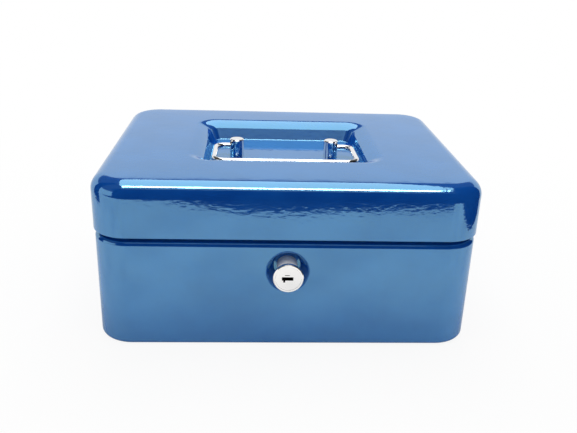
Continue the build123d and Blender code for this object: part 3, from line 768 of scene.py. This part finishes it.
class CASHBOX_OT_base(bpy.types.Operator):
    """Press the base: rounded shell, ledge, neck, lock dish and hinge slots"""

    bl_idname = "cash_box.base"
    bl_label = "Base"

    def execute(self, context):
        size = context.scene.cash_box.base
        width, depth = BASE_HIGH.x - BASE_LOW.x, BASE_HIGH.y - BASE_LOW.y
        rim, front, back = BASE_HIGH.z, BASE_LOW.y, BASE_HIGH.y
        base = rounded_plate("base_pressing", width, depth, size.corner, (0, 0, 0))
        bpy.ops.mesh.select_all(action="SELECT")
        extrude((0, 0, size.ledge_height))

        # The lock's square patch and the hinge slots are laid out on the flat walls
        flat = (width - 2 * size.corner, 0, size.ledge_height)
        patch = 2.44 * size.dish_mouth
        pick("FACE", face_at(1, front))
        middle = (0, front, size.ledge_height / 2)
        shrink_face((0, front, size.lock_z), (middle, flat), (patch, 1, patch))
        bpy.ops.mesh.delete(type="ONLY_FACE")
        pick("FACE", face_at(1, back))
        bpy.ops.mesh.bisect(plane_co=(0, 0, 0), plane_no=(1, 0, 0))
        for side in (-1, 1):

            def on_side(face):
                return face_at(1, back)(face) and side * face.calc_center_median().x > flat[0] / 8

            pick("FACE", on_side)
            middle = (side * flat[0] / 4, back, size.ledge_height / 2)
            shrink_face(
                (side * size.hinge_x, back, size.slot_z),
                (middle, (flat[0] / 2, 0, flat[2])),
                (size.slot_width, 1, size.slot_height),
            )
            bpy.ops.mesh.delete(type="FACE")

        # Ledge, neck and rounded edges
        pick("FACE", face_at(2, size.ledge_height))
        bpy.ops.mesh.inset(thickness=size.ledge_width, depth=0)
        extrude((0, 0, rim - size.ledge_height))
        bpy.ops.mesh.delete(type="ONLY_FACE")
        face_outwards()
        pick("EDGE", fold_at(2, size.ledge_height))
        bpy.ops.mesh.bevel(offset=size.shoulder_radius, segments=8, profile=0.5, affect="EDGES")
        pick("EDGE", edge_at(2, 0))
        bpy.ops.mesh.bevel(offset=size.bottom_radius, segments=8, profile=0.5, affect="EDGES")

        # Dish for the lock, bridged into its patch
        edit(base)
        pick("EDGE", lambda e: e.is_boundary and edge_at(1, front)(e))
        bpy.ops.mesh.subdivide(number_cuts=CIRCLE_SEGMENTS // 4 - 1)
        dish = self.make_dish(size, front)
        bpy.ops.object.mode_set(mode="OBJECT")
        join(base, dish)
        edit(base)
        pick("EDGE", lambda e: e.is_boundary and edge_at(1, front)(e))
        bpy.ops.mesh.bridge_edge_loops()
        finish_sheet(base, size.sheet, Vector((0, 0, -1)))
        dress(stoved_enamel, base)
        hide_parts("base_shell")
        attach(base, "base")
        return {"FINISHED"}

    def make_dish(self, size, front):
        """A cone of the same sheet, with a floor and a hole for the barrel."""
        begin()
        turn = math.atan2(size.dish_depth, size.dish_mouth - size.dish_floor)
        tangent = size.dish_lip * math.tan(turn / 2)
        rim = 1.5 * tangent
        bpy.ops.mesh.primitive_circle_add(
            vertices=CIRCLE_SEGMENTS,
            radius=size.dish_mouth + rim,
            fill_type="NGON",
            location=(0, front, size.lock_z),
            rotation=(math.pi / 2, 0, 0),
        )
        dish = bpy.context.object
        dish.name = dish.data.name = "lock_dish"
        bpy.ops.object.transform_apply(location=True, rotation=True, scale=True)
        edit(dish)
        bpy.ops.mesh.select_all(action="SELECT")
        bpy.ops.mesh.inset(thickness=rim, depth=0)
        bpy.ops.mesh.inset(thickness=size.dish_mouth - size.dish_floor, depth=-size.dish_depth)
        bpy.ops.mesh.inset(thickness=size.dish_floor - size.dish_hole, depth=0)
        bpy.ops.mesh.delete(type="FACE")

        def on_ring(radius, y):
            def test(edge):
                reach = [math.hypot(v.co.x, v.co.z - size.lock_z) for v in edge.verts]
                return edge_at(1, y)(edge) and all(abs(r - radius) < 5 * NEAR for r in reach)

            return test

        pick("EDGE", on_ring(size.dish_mouth, front))
        bpy.ops.mesh.bevel(offset=tangent, segments=6, profile=0.5, affect="EDGES")
        return dish


class CASHBOX_OT_handle(bpy.types.Operator):
    """Plate the bail and its posts, with their screws and washers"""

    bl_idname = "cash_box.handle"
    bl_label = "Handle"

    def execute(self, context):
        dress(chromium_plate, "handle_bail", "handle_post_left", "handle_post_right")
        dress(zinc_plate, "post_screws", "post_washers")
        return {"FINISHED"}


class CASHBOX_OT_lock(bpy.types.Operator):
    """Finish the lock's barrel, plug, wafers, cam and fixings"""

    bl_idname = "cash_box.lock"
    bl_label = "Lock"

    def execute(self, context):
        dress(nickel_plate, "lock_barrel", "lock_plug")
        dress(stamped_brass, "lock_wafers")
        dress(zinc_plate, "lock_washer", "lock_nut", "lock_cam", "cam_screw")
        return {"FINISHED"}


class CASHBOX_OT_hinges(bpy.types.Operator):
    """Finish the hinges and their rivets"""

    bl_idname = "cash_box.hinges"
    bl_label = "Hinges"

    def execute(self, context):
        hinge_parts = [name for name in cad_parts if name.startswith("hinge_")]
        dress(zinc_plate, *hinge_parts)
        return {"FINISHED"}


class CASHBOX_OT_catch(bpy.types.Operator):
    """Finish the lid's catch bracket"""

    bl_idname = "cash_box.catch"
    bl_label = "Catch"

    def execute(self, context):
        dress(zinc_plate, "lid_catch")
        return {"FINISHED"}


class CASHBOX_OT_tray(bpy.types.Operator):
    """Mould the coin tray's surface"""

    bl_idname = "cash_box.tray"
    bl_label = "Coin tray"

    def execute(self, context):
        dress(moulded_polystyrene, "coin_tray")
        return {"FINISHED"}


# Stage

# How the floor's front edge bows: the places across the table, in millimetres from the middle,
# and the share of the bow at each. The gloss mirrors it as the lower edge of the dark band.
FLOOR_BOW = ((-120, 1.0), (-20, 0.0), (20, 0.0), (140, 0.4), (200, 0.85))

# The two dark legs that the gloss mirrors at the lid's ends, in millimetres: the place across,
# the place front to back and the width of each
DARK_LEGS = ((-300, -28, 95), (260, -130, 340))
LEG_HEIGHT = 600 * MM


class CASHBOX_OT_stage(bpy.types.Operator):
    """Set the white floor, the dark side of the room, the lamps, the white room and the camera"""

    bl_idname = "cash_box.stage"
    bl_label = "Stage"

    def execute(self, context):
        settings = context.scene.cash_box
        self.make_floor(settings)
        self.make_dark_side(settings)
        self.make_lamps(settings.stage)
        self.make_world(settings.stage)
        self.make_camera(settings.stage)
        context.scene.view_settings.view_transform = "Standard"
        return {"FINISHED"}

    def card(self, place, width, depth, turn=0):
        """A flat card that is turned about the line from front to back."""
        begin()
        bpy.ops.mesh.primitive_plane_add(size=1, location=place, rotation=(0, turn, 0))
        made = bpy.context.object
        made.scale = (width, depth, 1)
        bpy.ops.object.transform_apply(location=True, rotation=True, scale=True)
        return made

    def seen_rays(self, tree):
        """1 for the rays that should see a white surround: camera, glossy and transmission rays."""
        rays = add_node(tree, "ShaderNodeLightPath").outputs
        either = add_node(
            tree,
            "ShaderNodeMath",
            {0: rays["Is Camera Ray"], 1: rays["Is Glossy Ray"]},
            operation="MAXIMUM",
        )
        return add_node(
            tree, "ShaderNodeMath", {0: either, 1: rays["Is Transmission Ray"]}, operation="MAXIMUM"
        )

    def make_floor(self, settings):
        """A white table top whose bowed front edge lies just outside the view."""
        stage = settings.stage
        reach, front = stage.table_reach, -stage.table_front
        floor = self.card((0, (reach + front) / 2, 0), 2 * reach, reach - front)
        floor.name = floor.data.name = "white_floor"
        edit(floor)
        bow = [(across * MM, share) for across, share in FLOOR_BOW]
        for across, _ in bow:
            bpy.ops.mesh.select_all(action="SELECT")
            bpy.ops.mesh.bisect(plane_co=(across, 0, 0), plane_no=(1, 0, 0))
        for across, share in ((-reach, bow[0][1]), *bow, (reach, bow[-1][1])):
            pick("VERT", lambda v: close(v.co.y, front) and close(v.co.x, across))
            bpy.ops.transform.translate(value=(0, -share * stage.table_bow, 0))
        bpy.ops.object.mode_set(mode="OBJECT")
        floor.data.materials.append(self.white_floor(settings.colours))

    def white_floor(self, colours):
        """Matt white that holds the box's shadow, and shows white to the camera and, with painted
        shade near the box and in clouds, to the gloss.
        """
        material, tree, place = new_material("white_floor")
        matt = add_node(tree, "ShaderNodeBsdfDiffuse", {"Color": (*colours.floor, 1)})
        glow = add_node(tree, "ShaderNodeEmission", {"Color": (1, 1, 1, 1), "Strength": 1.0})

        # How far a place on the floor lies outside the box's footprint
        half_box = (LID_HIGH.x, LID_HIGH.y, 0)
        aside = add_node(tree, "ShaderNodeVectorMath", {0: place}, operation="ABSOLUTE")
        past = add_node(
            tree, "ShaderNodeVectorMath", {0: aside, 1: half_box}, operation="SUBTRACT"
        )
        past = add_node(tree, "ShaderNodeVectorMath", {0: past, 1: (0, 0, 0)}, operation="MAXIMUM")
        away = add_node(tree, "ShaderNodeVectorMath", {0: past}, operation="LENGTH")

        # The camera sees a little of the shadow near the box, and plain white further off
        seen = add_node(
            tree,
            "ShaderNodeMapRange",
            {
                "Value": away,
                "From Min": 40 * MM,
                "From Max": 300 * MM,
                "To Min": 0.9,
                "To Max": 1.0,
            },
        )

        # Painted shade for the gloss: the floor it mirrors is darker next to the box, a painted
        # contact shadow, and in painted shade clouds some 60 mm wide
        painted_shade_near_box = add_node(
            tree,
            "ShaderNodeMapRange",
            {
                "Value": away,
                "From Min": 20 * MM,
                "From Max": 90 * MM,
                "To Min": 0.1,
                "To Max": 1.0,
            },
        )
        clouds = add_node(
            tree, "ShaderNodeTexNoise", {"Vector": place, "Scale": PER_MM / 60, "Detail": 2.0}
        )
        painted_cloud_shade = add_node(
            tree,
            "ShaderNodeMapRange",
            {"Value": clouds, "From Min": 0.38, "From Max": 0.58, "To Min": 0.25, "To Max": 1.0},
        )
        mirrored = add_node(tree, "ShaderNodeMath", {0: painted_shade_near_box, 1: painted_cloud_shade}, operation="MULTIPLY")
        rays = add_node(tree, "ShaderNodeLightPath").outputs
        glowing = add_node(
            tree,
            "ShaderNodeMix",
            {0: rays["Is Glossy Ray"], 2: seen, 3: mirrored},
            data_type="FLOAT",
        )
        share = add_node(
            tree, "ShaderNodeMath", {0: self.seen_rays(tree), 1: glowing}, operation="MULTIPLY"
        )
        mixed = add_node(tree, "ShaderNodeMixShader", {0: share, 1: matt, 2: glow})
        add_node(tree, "ShaderNodeOutputMaterial", {"Surface": mixed})
        return material

    def make_dark_side(self, settings):
        """The room's dark side behind the camera, and two legs, which only the gloss mirrors."""
        stage = settings.stage
        under_floor, overlap, roof_fall = 10 * MM, 20 * MM, 100 * MM
        near, far = overlap - stage.table_front, -stage.dark_front
        dark = self.card((0, (near + far) / 2, -under_floor), stage.dark_width, near - far)
        edit(dark)
        pick("EDGE", edge_at(1, far))
        extrude((0, 0, stage.dark_height))
        roof = -far - stage.dim_y - stage.dim_depth / 2
        extrude((0, roof, -roof_fall))
        bpy.ops.object.mode_set(mode="OBJECT")
        legs = [
            self.card((x * MM, y * MM, LEG_HEIGHT / 2), LEG_HEIGHT, width * MM, math.pi / 2)
            for x, y, width in DARK_LEGS
        ]
        join(dark, *legs)
        dark.name = dark.data.name = "dark_side_of_room"
        material, tree, _ = new_material("dark_room")
        matt = add_node(tree, "ShaderNodeBsdfDiffuse", {"Color": (*settings.colours.dark, 1)})
        add_node(tree, "ShaderNodeOutputMaterial", {"Surface": matt})
        dark.data.materials.clear()
        dark.data.materials.append(material)
        dark.visible_camera = False
        dark.visible_shadow = False
        dark.visible_diffuse = False

    def make_lamps(self, stage):
        """A soft lamp overhead, and a bright and a dim strip that only the gloss shows."""
        lamps = (
            ("soft_lamp", stage.soft_power, 0, stage.soft_y, stage.lamp_width, stage.soft_depth),
            (
                "gleam_strip",
                stage.strip_power,
                stage.strip_x,
                -stage.strip_y,
                stage.strip_width,
                stage.strip_depth,
            ),
            ("dim_strip", stage.dim_power, 0, -stage.dim_y, stage.lamp_width, stage.dim_depth),
        )
        for name, watts, x, y, width, depth in lamps:
            lamp = bpy.data.lights.new(name, "AREA")
            lamp.shape = "RECTANGLE"
            lamp.size, lamp.size_y = width, depth
            lamp.energy = watts
            holder = bpy.data.objects.new(name, lamp)
            holder.location = (x, y, stage.lamp_z)
            holder.visible_diffuse = name == "soft_lamp"
            bpy.context.scene.collection.objects.link(holder)

    def make_world(self, stage):
        """A plain even light on the object, and to gloss a white wall under a dim ceiling."""
        world = bpy.data.worlds.new("white_room")
        bpy.context.scene.world = world
        world.use_nodes = True
        tree = world.node_tree
        tree.nodes.clear()
        way = add_node(tree, "ShaderNodeTexCoord").outputs["Generated"]
        height = add_node(tree, "ShaderNodeSeparateXYZ", {0: way}).outputs["Z"]
        low, fade = math.sin(stage.wall_top), 0.06
        wall = add_node(
            tree,
            "ShaderNodeMapRange",
            {
                "Value": height,
                "From Min": low,
                "From Max": low + fade,
                "To Min": 1.0,
                "To Max": 0.1,
            },
        )
        seen = add_node(
            tree,
            "ShaderNodeMapRange",
            {"Value": self.seen_rays(tree), "To Min": stage.room, "To Max": 1.0},
        )
        rays = add_node(tree, "ShaderNodeLightPath").outputs
        mirrored = add_node(
            tree, "ShaderNodeMix", {0: rays["Is Glossy Ray"], 2: seen, 3: wall}, data_type="FLOAT"
        )
        glow = add_node(
            tree, "ShaderNodeBackground", {"Color": (1, 1, 1, 1), "Strength": mirrored}
        )
        add_node(tree, "ShaderNodeOutputWorld", {"Surface": glow})

    def make_camera(self, stage):
        """The camera at the photograph's viewing angle."""
        level, rise = math.cos(stage.elevation), math.sin(stage.elevation)
        back = Vector((-math.sin(stage.azimuth) * level, -math.cos(stage.azimuth) * level, rise))
        right = (-back).cross(Vector((0, 0, 1))).normalized()
        up = right.cross(-back)
        right, up = (
            math.cos(stage.roll) * right + math.sin(stage.roll) * up,
            math.cos(stage.roll) * up - math.sin(stage.roll) * right,
        )
        place = Vector((stage.target_x, 0, stage.target_z)) + stage.distance * back
        camera = bpy.data.cameras.new("camera")
        camera.sensor_width = 36
        camera.sensor_fit = "HORIZONTAL"
        camera.lens = stage.lens
        camera.clip_start = 10 * MM
        holder = bpy.data.objects.new("camera", camera)
        turn = Matrix((right, up, back)).transposed().to_4x4()
        holder.matrix_world = Matrix.Translation(place) @ turn
        bpy.context.scene.collection.objects.link(holder)
        bpy.context.scene.camera = holder


OPERATORS = (
    CASHBOX_OT_lid,
    CASHBOX_OT_base,
    CASHBOX_OT_handle,
    CASHBOX_OT_lock,
    CASHBOX_OT_hinges,
    CASHBOX_OT_catch,
    CASHBOX_OT_tray,
    CASHBOX_OT_stage,
)


class CASHBOX_PT_panel(bpy.types.Panel):
    """Lists the box's operators and sizes in the sidebar"""

    bl_label = "Petty Cash Box"
    bl_idname = "CASHBOX_PT_panel"
    bl_space_type = "VIEW_3D"
    bl_region_type = "UI"
    bl_category = "Cash Box"

    def draw(self, context):
        settings = context.scene.cash_box
        for group in (settings.lid, settings.base, settings.colours, settings.stage):
            column = self.layout.box().column()
            for name in group.__annotations__:
                column.prop(group, name)
        for operator in OPERATORS:
            self.layout.operator(operator.bl_idname)


CLASSES = (
    LidSizes,
    BaseSizes,
    FinishColours,
    StageSettings,
    CashBoxSettings,
    *OPERATORS,
    CASHBOX_PT_panel,
)


def register():
    for cls in CLASSES:
        bpy.utils.register_class(cls)
    bpy.types.Scene.cash_box = PointerProperty(type=CashBoxSettings)


def unregister():
    del bpy.types.Scene.cash_box
    for cls in reversed(CLASSES):
        bpy.utils.unregister_class(cls)


def main():
    register()
    bpy.ops.cash_box.lid()
    bpy.ops.cash_box.base()
    bpy.ops.cash_box.handle()
    bpy.ops.cash_box.lock()
    bpy.ops.cash_box.hinges()
    bpy.ops.cash_box.catch()
    bpy.ops.cash_box.tray()
    bpy.ops.cash_box.stage()
    begin()


if __name__ == "__main__":
    main()
